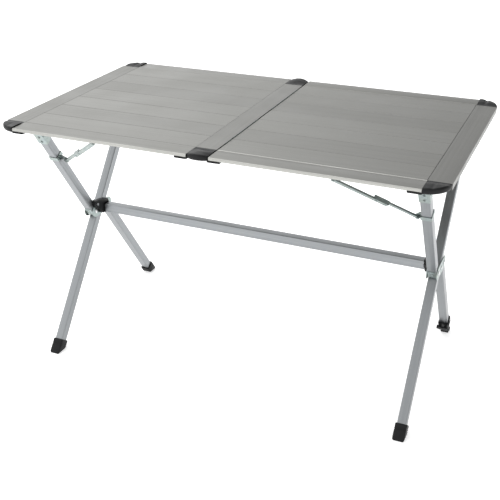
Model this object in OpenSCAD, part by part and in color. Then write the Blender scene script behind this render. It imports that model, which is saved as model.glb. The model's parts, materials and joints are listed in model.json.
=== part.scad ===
// Folding camp kitchen table: a slatted aluminium top in two halves on two crossed leg frames.
// Millimetres. X runs along the table, Y from the front to the back, Z up; the origin is on the floor.

/* [Top] */
// Length of the top over the end rails
top_l = 1160; // [1000:10:1300]
// Depth of the top over the edge profiles
top_w = 696; // [640:2:760]
// Height of the top's surface above the floor
top_h = 700; // [660:5:740]
// Thickness of the slats and edge profiles
slat_t = 12; // [10:0.5:16]
// Number of inner slats in each half
slat_n = 7; // [7:7]
// Width of a front or back edge profile
edge_w = 55; // [45:1:60]
// Width of each end rail
end_rail_w = 54.5; // [50:0.5:60]
// Width of the centre rail
mid_rail_w = 55; // [50:0.5:64]
// X of the centre rail's left side
mid_rail_x = -31.5; // [-45:1:-30]
// Gap beside the centre rail that holds the fold hinge
seam_w = 3.4; // [3.2:0.1:4]

/* [Legs] */
// Outer width of the square leg tubes
leg_w = 24; // [22:0.5:26]
// Wall of the leg tubes
leg_wall = 1.5; // [1.2:0.1:2]
// X of each leg frame's middle plane
leg_x = 514; // [506:1:518]
// Y of the hub
hub_y = -15; // [-20:1:-10]
// Height of the hub
hub_z = 352; // [345:1:360]
// Distance from the hub's middle to each leg pivot
pivot_gap = 33.5; // [33:0.5:36]
// Y where the through leg meets the floor
through_foot_y = -291; // [-300:1:-280]
// Y where the front upper leg would reach the surface of the top
upper_head_y = -275.5; // [-285:0.5:-265]
// Y where the rear lower leg meets the floor
lower_foot_y = 260.6; // [250:0.1:270]
// Side of the square crossbar
bar_w = 25; // [22:0.5:28]

/* [Stays] */
// X of the stay's stud on the leg clip
stay_x = 489; // [486:1:490]
// Y of that stud
stay_y = -180; // [-185:1:-175]
// Height of that stud
stay_z = 562; // [555:1:570]
// How far the stay runs inwards
stay_in = 173; // [165:1:190]
// How far the stay climbs in its own plane, which leans forward by 45 degrees
stay_up = 164; // [150:1:166]

/* [Hidden] */
$fn = 48;

// Colours
alu_light = [0.70, 0.70, 0.68];
alu_leg = [0.72, 0.73, 0.76];
zinc = [0.60, 0.66, 0.64];
black = [0.08, 0.08, 0.09];
steel = [0.80, 0.80, 0.80];

// Top
half_l = top_l / 2;
half_w = top_w / 2;
inner_w = half_w - edge_w;
slat_pitch = 2 * inner_w / slat_n;
slat_gap = 0.4;
slat_bottom = top_h - slat_t;
ledge_t = 2.5;
ledge_w = 30;
ledge_top = slat_bottom - 0.3;
rail_bottom = ledge_top - ledge_t;
rail_wall = 1.4;
mid_rail_end = mid_rail_x + mid_rail_w;
seam_x = mid_rail_end + seam_w / 2;
hinge_z = top_h + 0.6;
hinge_r = 1.3;
end_rail_x = half_l - end_rail_w;
cap_fit = 0.5;
cap_nose = 4;
cap_hump = 5;
corner_nose = 1;
corner_hump = 3;
corner_r = 55;
cap_bottom = rail_bottom;
left_x0 = -end_rail_x + 0.2;
left_x1 = mid_rail_x - 0.2;
right_x0 = mid_rail_end + seam_w;
right_x1 = end_rail_x - 0.2;
tab_l = 33;
tab_t = 4;
tab_deep = 28;

// Legs
through_dir = atan((hub_y - through_foot_y) / hub_z);
upper_tilt = atan((hub_y - pivot_gap - upper_head_y) / (top_h - hub_z));
lower_tilt = atan((lower_foot_y - hub_y - pivot_gap) / hub_z);
head_z = rail_bottom - 3;
leg_in = leg_w - 2 * leg_wall;
leg_butt = 6;
pin_r = 4;
pin_fit = 0.05;
plate_t = 2;
plate_r = 19;
plate_in = leg_w / 2 + 0.3;
block_t = 9.7;
block_x = leg_x - plate_in - plate_t - block_t;
screw_y = -36;
screw_z = 24;
bar_y = -7;
plug_t = 4;
bar_half = block_x - plug_t;
boot_w = 31.5;
boot_l = 34;
through_len = hub_z / cos(through_dir);
boot_sole = 6;
wrap_t = 1.5;
wrap_fit = 0.1;
head_l = 60;
through_head_l = 42;
cheek_in = leg_w / 2 + wrap_fit + wrap_t + 0.9;
cheek_t = 2;
upper_top_y = hub_y - pivot_gap - (head_z - hub_z) * tan(upper_tilt);
through_top_y = hub_y + (head_z - hub_z) * tan(through_dir);
head_up = (head_z - hub_z) / cos(upper_tilt);
head_up_through = (head_z - hub_z) / cos(through_dir);

// Levelling foot, measured up the rear right leg from the floor
lower_len = hub_z / cos(lower_tilt);
collar_low = 44;
collar_high = 76;
collar_w = 30;
post_w = leg_in - 0.4;
pad_w = 23;
ear_d = 12;
ear_in = 5;
ear_z = 62;
bolt_r = 3;
lever_x = 17.5;

// Stays
stay_lean = 45;
stay_len = sqrt(stay_in * stay_in + stay_up * stay_up);
stay_turn = atan(stay_up / stay_in);
bar_t = 5;
link_w = 11;
lower_w = 9;
knee = stay_len * 0.5;
sleeve_l = 42;
stud_r = 2.5;

// ---------- shared shapes ----------

// A square tube along Z from z0 to z1
module tube(w, wall, z0, z1) {
    translate([0, 0, z0]) linear_extrude(z1 - z0) difference() {
        square(w, center = true);
        square(w - 2 * wall, center = true);
    }
}

// A cylinder along X from x0 to x1
module x_pin(r, x0, x1) {
    translate([x0, 0, 0]) rotate([0, 90, 0]) cylinder(r = r, h = x1 - x0);
}

// A hollow flat profile: width w along Y, height t, from x0 to x1, its top at the surface of the top
module profile(w, t, wall, webs, x0, x1) {
    bevel = 0.6;
    cell = (w - wall) / (webs + 1);
    translate([x0, 0, top_h]) rotate([90, 0, 90]) linear_extrude(x1 - x0) difference() {
        polygon([[-w / 2, -t], [w / 2, -t], [w / 2, -bevel], [w / 2 - bevel, 0],
            [-w / 2 + bevel, 0], [-w / 2, -bevel]]);
        for (i = [0:webs])
            translate([-w / 2 + wall + i * cell, -t + wall]) square([cell - wall, t - 2 * wall]);
    }
}

// Places children on both sides of the middle plane
module both_sides() {
    children();
    mirror([1, 0, 0]) children();
}

// Local Z runs up the through leg from the hub
module on_through() {
    translate([leg_x, hub_y, hub_z]) rotate([-through_dir, 0, 0]) children();
}

// Local Z runs up the front upper leg from its pivot
module on_upper() {
    translate([leg_x, hub_y - pivot_gap, hub_z]) rotate([upper_tilt, 0, 0]) children();
}

// Local Z runs up the rear lower leg from its foot point on the floor
module on_lower() {
    translate([leg_x, lower_foot_y, 0]) rotate([lower_tilt, 0, 0]) children();
}

// Keeps what lies above the floor
module above_floor() {
    difference() {
        children();
        translate([-2000, -2000, -200]) cube([4000, 4000, 200]);
    }
}

// Keeps what lies below the height z
module below(z) {
    difference() {
        children();
        translate([-2000, -2000, z]) cube([4000, 4000, 200]);
    }
}

// ---------- top ----------

// A rail box from x0 to x1 with ledges of the given widths on its left and right
module rail(x0, x1, ledge_left, ledge_right) {
    h = top_h - rail_bottom;
    color(alu_light) difference() {
        union() {
            translate([x0, -inner_w, rail_bottom]) cube([x1 - x0, 2 * inner_w, h]);
            translate([x0 - ledge_left, -inner_w, rail_bottom])
                cube([ledge_left + x1 - x0 + ledge_right, 2 * inner_w, ledge_t]);
        }
        translate([x0 + rail_wall, -inner_w - 1, rail_bottom + rail_wall])
            cube([x1 - x0 - 2 * rail_wall, 2 * inner_w + 2, h - 2 * rail_wall]);
    }
}

module rail_left() rail(-half_l, -end_rail_x, 0, ledge_w);
module rail_center() rail(mid_rail_x, mid_rail_end, ledge_w, ledge_w);
module rail_right() rail(end_rail_x, half_l, ledge_w, 0);

// Side view of a cap: flush at the rail, raised near the edge and rounded at the nose
module cap_side(nose, hump) {
    y0 = inner_w;
    y1 = half_w + nose;
    r = 7;
    polygon(concat(
        [[y0, cap_bottom], [y1 - 9, cap_bottom - 1], [y1 - 2, cap_bottom + 4]],
        [for (a = [0:15:75]) [y1 - r + r * cos(a), top_h + hump - r + r * sin(a)]],
        [for (i = [0:4]) [y1 - r - 6 - i * 8, top_h + hump * cos(i * 36 / 2)]],
        [[y0 + 4, top_h], [y0, top_h]]
    ));
}

// The back cap's solid from x0 to x1, cut to the given plan outline
module cap_solid(x0, x1, nose, hump) {
    intersection() {
        translate([x0, 0, 0]) rotate([90, 0, 90]) linear_extrude(x1 - x0) cap_side(nose, hump);
        translate([0, 0, cap_bottom - 5]) linear_extrude(60) children();
    }
}

// A tongue under the edge profile beside a cap
module tab(x0, x1) {
    translate([x0, half_w + 1 - tab_deep, slat_bottom - 0.3 - tab_t]) cube([x1 - x0, tab_deep, tab_t]);
}

module cap_center() {
    x0 = mid_rail_x + cap_fit;
    x1 = mid_rail_end - cap_fit;
    mid = (x0 + x1) / 2;
    nose_r = 56;
    arch_r = ((x1 - x0) * (x1 - x0) / 4 + cap_hump * cap_hump) / (2 * cap_hump);
    color(black) union() {
        intersection() {
            cap_solid(x0, x1, cap_nose, cap_hump) {
                translate([x0, inner_w]) square([x1 - x0, 40]);
                intersection() {
                    translate([x0, inner_w]) square([x1 - x0, 80]);
                    translate([mid, half_w + cap_nose - nose_r]) circle(nose_r, $fn = 96);
                }
            }
            translate([mid, inner_w - 1, top_h + cap_hump - arch_r])
                rotate([-90, 0, 0]) cylinder(r = arch_r, h = 100, $fn = 128);
        }
        tab(x0 - tab_l, x0 + 1);
        tab(x1 - 1, x1 + tab_l);
    }
}

module cap_corner() {
    x0 = end_rail_x + cap_fit;
    x1 = half_l;
    y1 = half_w + corner_nose;
    color(black) union() {
        cap_solid(x0, x1, corner_nose, corner_hump) intersection() {
            translate([x0, inner_w]) square([x1 - x0, y1 - inner_w]);
            translate([x1 - corner_r, y1 - corner_r]) circle(corner_r, $fn = 128);
        }
        tab(x0 - tab_l, x0 + 1);
    }
}

module cap_back_center() cap_center();
module cap_front_center() mirror([0, 1, 0]) cap_center();
module cap_back_right() cap_corner();
module cap_front_right() mirror([0, 1, 0]) cap_corner();
module cap_back_left() mirror([1, 0, 0]) cap_corner();
module cap_front_left() mirror([1, 0, 0]) mirror([0, 1, 0]) cap_corner();

// An edge profile with its outer face at half_w
module edge(x0, x1) {
    color(alu_light) translate([0, half_w - edge_w / 2, 0])
        profile(edge_w - slat_gap, slat_t, 1.2, 1, x0, x1);
}

module edge_back_left() edge(left_x0, left_x1);
module edge_front_left() mirror([0, 1, 0]) edge(left_x0, left_x1);
module edge_back_right() edge(right_x0, right_x1);
module edge_front_right() mirror([0, 1, 0]) edge(right_x0, right_x1);

// Inner slat number i, counted from the front
module slat(i, x0, x1) {
    color(alu_light) translate([0, -inner_w + (i - 0.5) * slat_pitch, 0])
        profile(slat_pitch - slat_gap, slat_t, 1, 2, x0, x1);
}

// Fold hinge: the pin belongs to the centre rail, the leaf turns with the right half
module fold_hinge_pin() {
    color(steel) for (s = [-1, 1]) translate([seam_x, s * inner_w / 2, hinge_z]) {
        rotate([90, 0, 0]) cylinder(r = hinge_r, h = inner_w * 0.4, center = true);
        translate([-seam_w / 2, -inner_w * 0.08, -2.2]) cube([seam_w / 2 - 0.4, inner_w * 0.16, 1.4]);
    }
}

module fold_hinge_leaf() {
    r = hinge_r;
    color(steel) for (s = [-1, 1]) for (e = [-1, 1])
        translate([seam_x, s * inner_w / 2 + e * inner_w * 0.28, hinge_z]) {
            difference() {
                rotate([90, 0, 0]) cylinder(r = r, h = inner_w * 0.14, center = true);
                rotate([90, 0, 0]) cylinder(r = 0.6, h = inner_w * 0.2, center = true);
            }
            translate([0.9, -inner_w * 0.05, -1.9]) cube([seam_w / 2 - 0.9, inner_w * 0.1, 1.3]);
        }
}

// Leg sockets under an end rail: a top plate and two cheeks for each leg, with room for the leg head
module socket(y, lean) {
    w = 2 * (cheek_in + cheek_t);
    drop = 34;
    shift = drop * tan(lean);
    half = 24;
    translate([leg_x - w / 2, y - 27, rail_bottom - 2.2]) cube([w, 54, 2.1]);
    for (x = [leg_x - cheek_in - cheek_t, leg_x + cheek_in]) translate([x, y, rail_bottom - 2.1])
        rotate([90, 0, 90]) linear_extrude(cheek_t)
            polygon([[-half, 0], [half, 0], [shift + 13, -drop], [shift - 13, -drop]]);
}

module leg_socket_right() {
    color(zinc) {
        socket(upper_top_y, upper_tilt);
        socket(through_top_y, -through_dir);
    }
}
module leg_socket_left() mirror([1, 0, 0]) leg_socket_right();

// ---------- leg frames ----------

module through_leg() {
    color(alu_leg) below(head_z) above_floor() difference() {
        on_through() tube(leg_w, leg_wall, -hub_z / cos(through_dir) + boot_sole, 460);
        on_through() x_pin(3, -leg_w, leg_w);
    }
}

module front_upper_leg() {
    color(alu_leg) below(head_z) difference() {
        on_upper() tube(leg_w, leg_wall, -leg_butt, 460);
        on_upper() x_pin(pin_r + pin_fit, -leg_w, leg_w);
    }
}

// The rear lower leg, cut at height low up its own axis
module rear_lower_leg(low) {
    color(alu_leg) difference() {
        on_lower() tube(leg_w, leg_wall, low, lower_len + leg_butt);
        on_lower() translate([0, 0, lower_len]) x_pin(pin_r + pin_fit, -leg_w, leg_w);
    }
}

module through_leg_right() through_leg();
module through_leg_left() mirror([1, 0, 0]) through_leg();
module front_upper_leg_right() front_upper_leg();
module front_upper_leg_left() mirror([1, 0, 0]) front_upper_leg();
module rear_lower_leg_right() rear_lower_leg(collar_low + 4);
module rear_lower_leg_left() mirror([1, 0, 0]) rear_lower_leg(boot_sole + 8);

// A pressed shoe on the last stretch of a leg: front face, two sides and two rivets
module head_wrap(side, z0, z1) {
    w = leg_w / 2 + wrap_fit;
    o = w + wrap_t;
    translate([0, 0, z0]) linear_extrude(z1 - z0) difference() {
        translate([-o, side > 0 ? -w + 6 : -o]) square([2 * o, 2 * w + wrap_t - 6]);
        square(2 * w, center = true);
    }
    for (z = [z0 + 9, z0 + 22]) translate([3, side * o, z])
        rotate([-90 * side, 0, 0]) cylinder(r1 = 3, r2 = 2, h = 1.2);
}

module leg_head_right() {
    color(zinc) below(head_z) on_upper() head_wrap(-1, head_up - head_l, head_up + 12);
}
module leg_head_left() mirror([1, 0, 0]) leg_head_right();

module leg_heads_through() {
    color(zinc) both_sides() below(head_z) on_through()
        head_wrap(1, head_up_through - through_head_l, head_up_through + 14);
}

// ---------- hub ----------

// Plan of the hub plate in Y and Z: a straight bar with round ends around the two leg pivots
module hub_outline(r) {
    for (s = [-1, 1]) translate([s * pivot_gap, 0]) circle(r);
    square([2 * pivot_gap, 2 * r], center = true);
}

// Children are a Y-Z outline, drawn between x0 and x1 from the leg's middle plane
module hub_slab(x0, x1) {
    translate([leg_x + x0, hub_y, hub_z]) rotate([90, 0, 90]) linear_extrude(x1 - x0) children();
}

// The three holes of a hub plate
module hub_holes() {
    for (s = [-1, 1]) translate([s * pivot_gap, 0]) circle(pin_r);
    circle(3);
}

module hub_plates() {
    color(zinc) both_sides() for (x = [plate_in, -plate_in - plate_t])
        hub_slab(x, x + plate_t) difference() {
            hub_outline(plate_r);
            hub_holes();
        }
}

// Black bracket between the inner hub plate and the crossbar, with a screw in its front wing
module hub_block() {
    color(black) difference() {
        hub_slab(-plate_in - plate_t - block_t, -plate_in - plate_t) polygon([
            [-47, 24], [-45, 37], [-10, 33], [20, 22], [24, 10], [24, -12],
            [-8, -15], [-22, -8], [-26, 6], [-40, 12]]);
        hub_slab(-plate_in - plate_t - block_t - 1, -plate_in - plate_t + 1) circle(3);
        hub_slab(-plate_in - plate_t - block_t - 1, -plate_in - plate_t - block_t + 5)
            translate([screw_y, screw_z]) circle(2.5);
    }
}
module hub_block_right() hub_block();
module hub_block_left() mirror([1, 0, 0]) hub_block();

// The pivot pins of the two legs, the rivet of the through leg and the bracket's screws, with their heads
module hub_pins() {
    out = plate_in + plate_t;
    color(steel) both_sides() {
        for (s = [-1, 1]) translate([leg_x, hub_y + s * pivot_gap, hub_z]) {
            x_pin(pin_r, -out, out);
            x_pin(6.5, out, out + 1.8);
            x_pin(6.5, -out - 1.8, -out);
        }
        translate([leg_x, hub_y, hub_z]) {
            x_pin(3, -out - block_t, out);
            x_pin(5.5, out, out + 1.6);
        }
        translate([leg_x, hub_y + screw_y, hub_z + screw_z]) {
            x_pin(2.5, -out - block_t, -out - block_t + 5);
            x_pin(4, -out - block_t - 1.6, -out - block_t);
        }
    }
}

module crossbar() {
    color(alu_leg) translate([0, bar_y, hub_z]) rotate([0, 90, 0]) tube(bar_w, 1.5, -bar_half, bar_half);
}

// Black plugs that join the crossbar to the hub blocks, with their rivets
module crossbar_plugs() {
    core = bar_w - 3.2;
    color(black) both_sides() translate([0, bar_y, hub_z]) {
        translate([bar_half, -bar_w / 2 - 1, -bar_w / 2 - 1]) cube([plug_t, bar_w + 2, bar_w + 2]);
        difference() {
            translate([bar_half - 40, -core / 2, -core / 2]) cube([40.5, core, core]);
            translate([bar_half - 41, -core / 2 + 3, -core / 2 + 3]) cube([38, core - 6, core - 6]);
        }
    }
}

// ---------- feet ----------

// A boot around the foot of a leg; local Z runs up the leg and the sole is level with the floor
module boot() {
    color(black) above_floor() difference() {
        children(0);
        children(1);
    }
}

module boot_shell() {
    b = 3;
    translate([0, 0, -30]) linear_extrude(boot_l + 30) polygon([
        [-boot_w / 2 + b, -boot_w / 2], [boot_w / 2 - b, -boot_w / 2],
        [boot_w / 2, -boot_w / 2 + b], [boot_w / 2, boot_w / 2 - b],
        [boot_w / 2 - b, boot_w / 2], [-boot_w / 2 + b, boot_w / 2],
        [-boot_w / 2, boot_w / 2 - b], [-boot_w / 2, -boot_w / 2 + b]]);
}

module boot_core(low) {
    translate([-leg_w / 2, -leg_w / 2, low]) cube([leg_w, leg_w, 100]);
}

module boots_front() {
    both_sides() boot() {
        on_through() translate([0, 0, -through_len]) boot_shell();
        on_through() translate([0, 0, -through_len]) boot_core(boot_sole);
    }
}

module boot_rear_left() {
    mirror([1, 0, 0]) boot() {
        on_lower() boot_shell();
        on_lower() boot_core(boot_sole + 8);
    }
}

// Clamp collar on the rear right leg, with two ears for its bolt
module level_collar() {
    color(black) on_lower() difference() {
        union() {
            translate([-collar_w / 2, -collar_w / 2, collar_low])
                cube([collar_w, collar_w, collar_high - collar_low]);
            for (x = [-12, 4]) translate([x, -collar_w / 2 - ear_d, ear_z - 8]) cube([8, ear_d + 1, 16]);
        }
        translate([-leg_w / 2, -leg_w / 2, collar_low + 4]) cube([leg_w, leg_w, 60]);
        translate([-post_w / 2 - 0.3, -post_w / 2 - 0.3, collar_low - 1]) cube([post_w + 0.6, post_w + 0.6, 20]);
        translate([0, -collar_w / 2 - ear_d + ear_in, ear_z]) x_pin(bolt_r, -20, 20);
    }
}

module level_bolt() {
    color(black) on_lower() translate([0, -collar_w / 2 - ear_d + ear_in, ear_z]) {
        x_pin(bolt_r, -12, 13.2);
        x_pin(6, -17.5, -12);
    }
}

// Cam lever on the bolt's outer end: it turns about the leg's cross axis
module level_lever() {
    color(black) on_lower() translate([lever_x, -collar_w / 2 - ear_d + ear_in, ear_z]) {
        rotate([90, 0, 0]) cylinder(r = 4, h = 11, center = true);
        translate([-2.2, -5.5, 0]) cube([4.4, 11, 32]);
        translate([-2.2, -5.5, 29]) rotate([0, 14, 0]) cube([3.6, 11, 14]);
    }
}

// Sliding foot: a square post inside the leg and a pad that stands level on the floor
module level_foot() {
    color(black) above_floor() on_lower() union() {
        translate([-post_w / 2, -post_w / 2, -20]) cube([post_w, post_w, 150]);
        translate([-pad_w / 2, -pad_w / 2, -25]) cube([pad_w, pad_w, 36]);
    }
}

// ---------- stays ----------

// Local X runs inwards-out along the stay from its anchor, local Z points to the front and down
module on_stay() {
    translate([stay_x - stay_in, stay_y - stay_up * cos(stay_lean), stay_z + stay_up * sin(stay_lean)])
        rotate([180 - stay_lean, 0, 0]) rotate([0, 0, -stay_turn]) children();
}

// A flat bar with round ends, centred on the X axis
module flat_bar(w, t, x0, x1) {
    translate([x0, -w / 2, 0]) cube([x1 - x0, w, t]);
    for (x = [x0, x1]) translate([x, 0, 0]) cylinder(d = w, h = t);
}

module stay_upper() {
    lip = 1.2;
    color(zinc) on_stay() difference() {
        union() {
            translate([0, 0, bar_t + 0.3]) flat_bar(link_w, bar_t, 0, knee);
            translate([knee - 10, -link_w / 2, bar_t + 0.3]) cube([sleeve_l, link_w + 1, bar_t]);
            translate([knee - 10, link_w / 2 - 0.2, -0.6]) cube([sleeve_l, lip, bar_t * 2 + 0.9]);
            translate([knee, 0, -1.4]) cylinder(r = 2, h = 8.5);
            translate([knee, 0, -1.4]) cylinder(r = 3.4, h = 1.2);
            translate([knee, 0, 2 * bar_t + 0.2]) cylinder(r = 3.4, h = 1.4);
            translate([knee + 24, 0, 2 * bar_t + 0.2]) cylinder(r = 3, h = 1.2);
        }
        translate([0, 0, -2]) cylinder(r = 2.05, h = 20);
    }
}

// The lower link ends in an open fork that slips over the stud
module stay_lower() {
    slot_r = stud_r + 0.3;
    color(zinc) on_stay() difference() {
        union() {
            flat_bar(lower_w, bar_t, knee, stay_len - 8);
            translate([stay_len - 9, -5.5, 0]) cube([14.5, 11, bar_t]);
        }
        translate([knee, 0, -1]) cylinder(r = 2.05, h = 6);
        translate([stay_len, 0, -1]) cylinder(r = slot_r, h = 6);
        translate([stay_len, -slot_r, -1]) cube([20, 2 * slot_r, 6]);
    }
}

// Anchor: a foot under the front edge profile and a tongue with the stay's upper pivot
module stay_anchor() {
    az = stay_z + stay_up * sin(stay_lean);
    ay = stay_y - stay_up * cos(stay_lean);
    color(zinc) {
        translate([stay_x - stay_in - 14, ay - 34, slat_bottom - 1.8]) cube([28, 34, 1.7]);
        intersection() {
            on_stay() rotate([0, 0, stay_turn]) translate([-9, -6, 0.2]) cube([18, 30, bar_t - 0.2]);
            translate([0, -2000, 0]) cube([2000, 4000, slat_bottom - 0.2]);
        }
        on_stay() translate([0, 0, 0.2]) cylinder(r = 2, h = 7);
        on_stay() translate([0, 0, 2 * bar_t + 0.6]) cylinder(r = 3.4, h = 1.2);
    }
}

// Band around the front upper leg with a lug and headed stud for the stay's fork
module leg_clip() {
    w = leg_w / 2 + wrap_fit;
    o = w + wrap_t;
    up = (stay_z - hub_z) / cos(upper_tilt);
    reach = leg_x - o - stay_x + 0.4;
    color(zinc) {
        on_upper() translate([0, 0, up + 10]) linear_extrude(13) difference() {
            square(2 * o, center = true);
            square(2 * w, center = true);
        }
        difference() {
            on_stay() rotate([0, 0, stay_turn]) translate([stay_in, -stay_up, -2.9])
                linear_extrude(2.7) polygon([[-6, -5], [-6, 5], [reach - 7, 21], [reach, 21], [reach, -3], [2, -5]]);
            on_upper() translate([-w, -w, up - 40]) cube([2 * w, 2 * w, 80]);
        }
        on_stay() translate([stay_len, 0, -0.4]) cylinder(r = stud_r, h = bar_t + 1);
        on_stay() translate([stay_len, 0, bar_t + 0.4]) cylinder(r = 4.2, h = 1.4);
    }
}

module stay_upper_right() stay_upper();
module stay_upper_left() mirror([1, 0, 0]) stay_upper();
module stay_lower_right() stay_lower();
module stay_lower_left() mirror([1, 0, 0]) stay_lower();
module stay_anchor_right() stay_anchor();
module stay_anchor_left() mirror([1, 0, 0]) stay_anchor();
module leg_clip_right() leg_clip();
module leg_clip_left() mirror([1, 0, 0]) leg_clip();

rail_left();
rail_center();
rail_right();
cap_front_left();
cap_front_center();
cap_front_right();
cap_back_left();
cap_back_center();
cap_back_right();
edge_front_left();
edge_back_left();
edge_front_right();
edge_back_right();
for (i = [1:slat_n]) {
    slat(i, left_x0, left_x1);
    slat(i, right_x0, right_x1);
}
fold_hinge_pin();
fold_hinge_leaf();
leg_socket_left();
leg_socket_right();
through_leg_left();
through_leg_right();
front_upper_leg_left();
front_upper_leg_right();
rear_lower_leg_left();
rear_lower_leg_right();
leg_heads_through();
leg_head_left();
leg_head_right();
crossbar();
crossbar_plugs();
hub_plates();
hub_block_left();
hub_block_right();
hub_pins();
boots_front();
boot_rear_left();
level_collar();
level_bolt();
level_lever();
level_foot();
stay_anchor_left();
stay_anchor_right();
stay_upper_left();
stay_upper_right();
stay_lower_left();
stay_lower_right();
leg_clip_left();
leg_clip_right();
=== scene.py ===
import json
import math

import bmesh
import bpy
from mathutils import Matrix, Vector
from mathutils.geometry import convex_hull_2d


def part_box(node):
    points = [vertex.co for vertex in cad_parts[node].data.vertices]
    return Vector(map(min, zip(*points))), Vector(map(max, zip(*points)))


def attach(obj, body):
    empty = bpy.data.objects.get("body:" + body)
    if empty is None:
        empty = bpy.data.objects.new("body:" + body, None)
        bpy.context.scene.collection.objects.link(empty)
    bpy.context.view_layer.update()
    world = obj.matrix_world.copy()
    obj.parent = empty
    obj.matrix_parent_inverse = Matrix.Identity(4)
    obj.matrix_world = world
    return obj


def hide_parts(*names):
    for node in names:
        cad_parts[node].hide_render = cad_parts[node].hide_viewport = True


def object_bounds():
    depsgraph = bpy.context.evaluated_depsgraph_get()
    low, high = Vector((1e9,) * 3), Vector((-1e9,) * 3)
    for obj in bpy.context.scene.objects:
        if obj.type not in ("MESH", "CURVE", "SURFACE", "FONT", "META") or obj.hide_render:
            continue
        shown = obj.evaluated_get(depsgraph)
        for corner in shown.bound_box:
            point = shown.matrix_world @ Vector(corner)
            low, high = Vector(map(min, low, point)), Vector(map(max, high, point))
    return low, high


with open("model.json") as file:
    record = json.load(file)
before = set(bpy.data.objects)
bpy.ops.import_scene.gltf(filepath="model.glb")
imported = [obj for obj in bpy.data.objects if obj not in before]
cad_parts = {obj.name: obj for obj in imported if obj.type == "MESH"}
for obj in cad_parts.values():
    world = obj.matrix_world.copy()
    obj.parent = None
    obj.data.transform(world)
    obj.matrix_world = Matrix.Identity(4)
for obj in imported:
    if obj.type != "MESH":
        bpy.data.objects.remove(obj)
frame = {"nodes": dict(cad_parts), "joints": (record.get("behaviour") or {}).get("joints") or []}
nodes = frame["nodes"]
cad_low, cad_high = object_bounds()

SIDES = ("left", "right")
ENDS = ("front", "back")
X_AXIS = Vector((1, 0, 0))

# ---------- sizes, in metres ----------

# The top: seven slats in each half, between the rails.
SLATS = range(1, 8)
TOP_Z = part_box("slat_left_1")[1].z
SLAT_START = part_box("slat_left_1")[0].y
SLAT_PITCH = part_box("slat_left_2")[0].y - SLAT_START
SLAT_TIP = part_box("slat_right_1")[1].x
RIBS_PER_SLAT = 18

# Edge profiles: where the back right one starts and ends, where its painted highlight and painted bead glint
# lie, its bull nose and its round.
EDGE_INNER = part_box("edge_back_right")[0].y
EDGE_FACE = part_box("edge_back_right")[1].y
EDGE_HIGHLIGHT_PAST = EDGE_FACE - 0.001
EDGE_BEAD_GLINT = EDGE_INNER + 0.0022
EDGE_NOSE = 0.008
EDGE_ROUND = 0.0024
NOSE_ROUND = 0.001

# Caps: rounded rim above, rounded keel below, how far the underside lies above the CAD's, and the tongues.
CAP_RIM = 0.005
CAP_KEEL = 0.007
CAP_LIFT = 0.004
CAP_COLUMNS = 44
CAP_ROWS = 30
CENTER_CAP_BOW = 0.056
CORNER_CAP_ROUND = 0.055
CREASE_WIDTH = 0.0011
TAB_L = 0.033
TAB_REACH = 0.03
TAB_THICK = 0.004
TAB_GAP = 0.0003
TAB_ROUND = 0.004

# Tubes: wall, corner round, the hub pin's hole, and where the ends stop at the hub and above the floor.
TUBE_WALL = 0.0015
TUBE_CORNER = 0.0020
TUBE_CORNER_LEAST = 0.0004
PIN_HOLE_R = 0.0042
CUTTER_L = 0.08
LEG_BUTT = 0.006
FOOT_GAP = 0.008

# Boots: length up the leg, corner round, grip grooves and the pocket for the leg.
BOOT_L = 0.034
BOOT_CORNER = 0.004
BOOT_GROOVES = (0.017, 0.022)
BOOT_GROOVE_DEPTH = 0.0006
BOOT_POCKET_FLOOR = 0.016
BOOT_POCKET_GAP = 0.0002
BOOT_POCKET_CORNER = 0.003

# Fixings: rivets (radius, height of the head) and the pressed strap at the end of each front upper leg.
LEDGE_RIVET = (0.0028, 0.0011)
LEDGE_RIVET_INSET = 0.012
STRAP_RIVET = (0.0030, 0.0012)
STRAP_RIVET_PLACES = (0.010, 0.021)
HEAD_RIVET = (0.0034, 0.0014)
HEAD_RIVET_DROPS = (0.0422, 0.0262)
HEAD_PLATE = 0.0016
STRAP_L = 0.028
STRAP_THICK = 0.0010
STRAP_LIP = 0.0008
STRAP_LIP_INNER = 0.006
STRAP_INSET = 0.001

# Widths of the small rounds on edges.
ZINC_BEVEL = 0.0005
RAIL_BEVEL = 0.0006
PIN_BEVEL = 0.0003
PLASTIC_BEVEL = 0.0012
CAP_BEVEL = 0.0006

# Angles, in degrees, over which an edge stays crisp or gets its bevel.
SHARP_MOULDED = 38
SHARP_EDGE_PROFILE = 32
SHARP_OTHER = 40
BEVEL_CAD = 35
BEVEL_MOULDED = 50

# Colour sockets of a Mix node: the two inputs and the output.
MIX_INPUTS = (6, 7)
MIX_OUTPUT = 2


# ---------- shader helpers ----------

def range_node(tree, source, from_range, to_range):
    """A value turned from one range into another, in any node tree."""
    node = tree.nodes.new("ShaderNodeMapRange")
    node.inputs["From Min"].default_value = from_range[0]
    node.inputs["From Max"].default_value = from_range[1]
    node.inputs["To Min"].default_value = to_range[0]
    node.inputs["To Max"].default_value = to_range[1]
    tree.links.new(source, node.inputs["Value"])
    return node.outputs["Result"]


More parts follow.
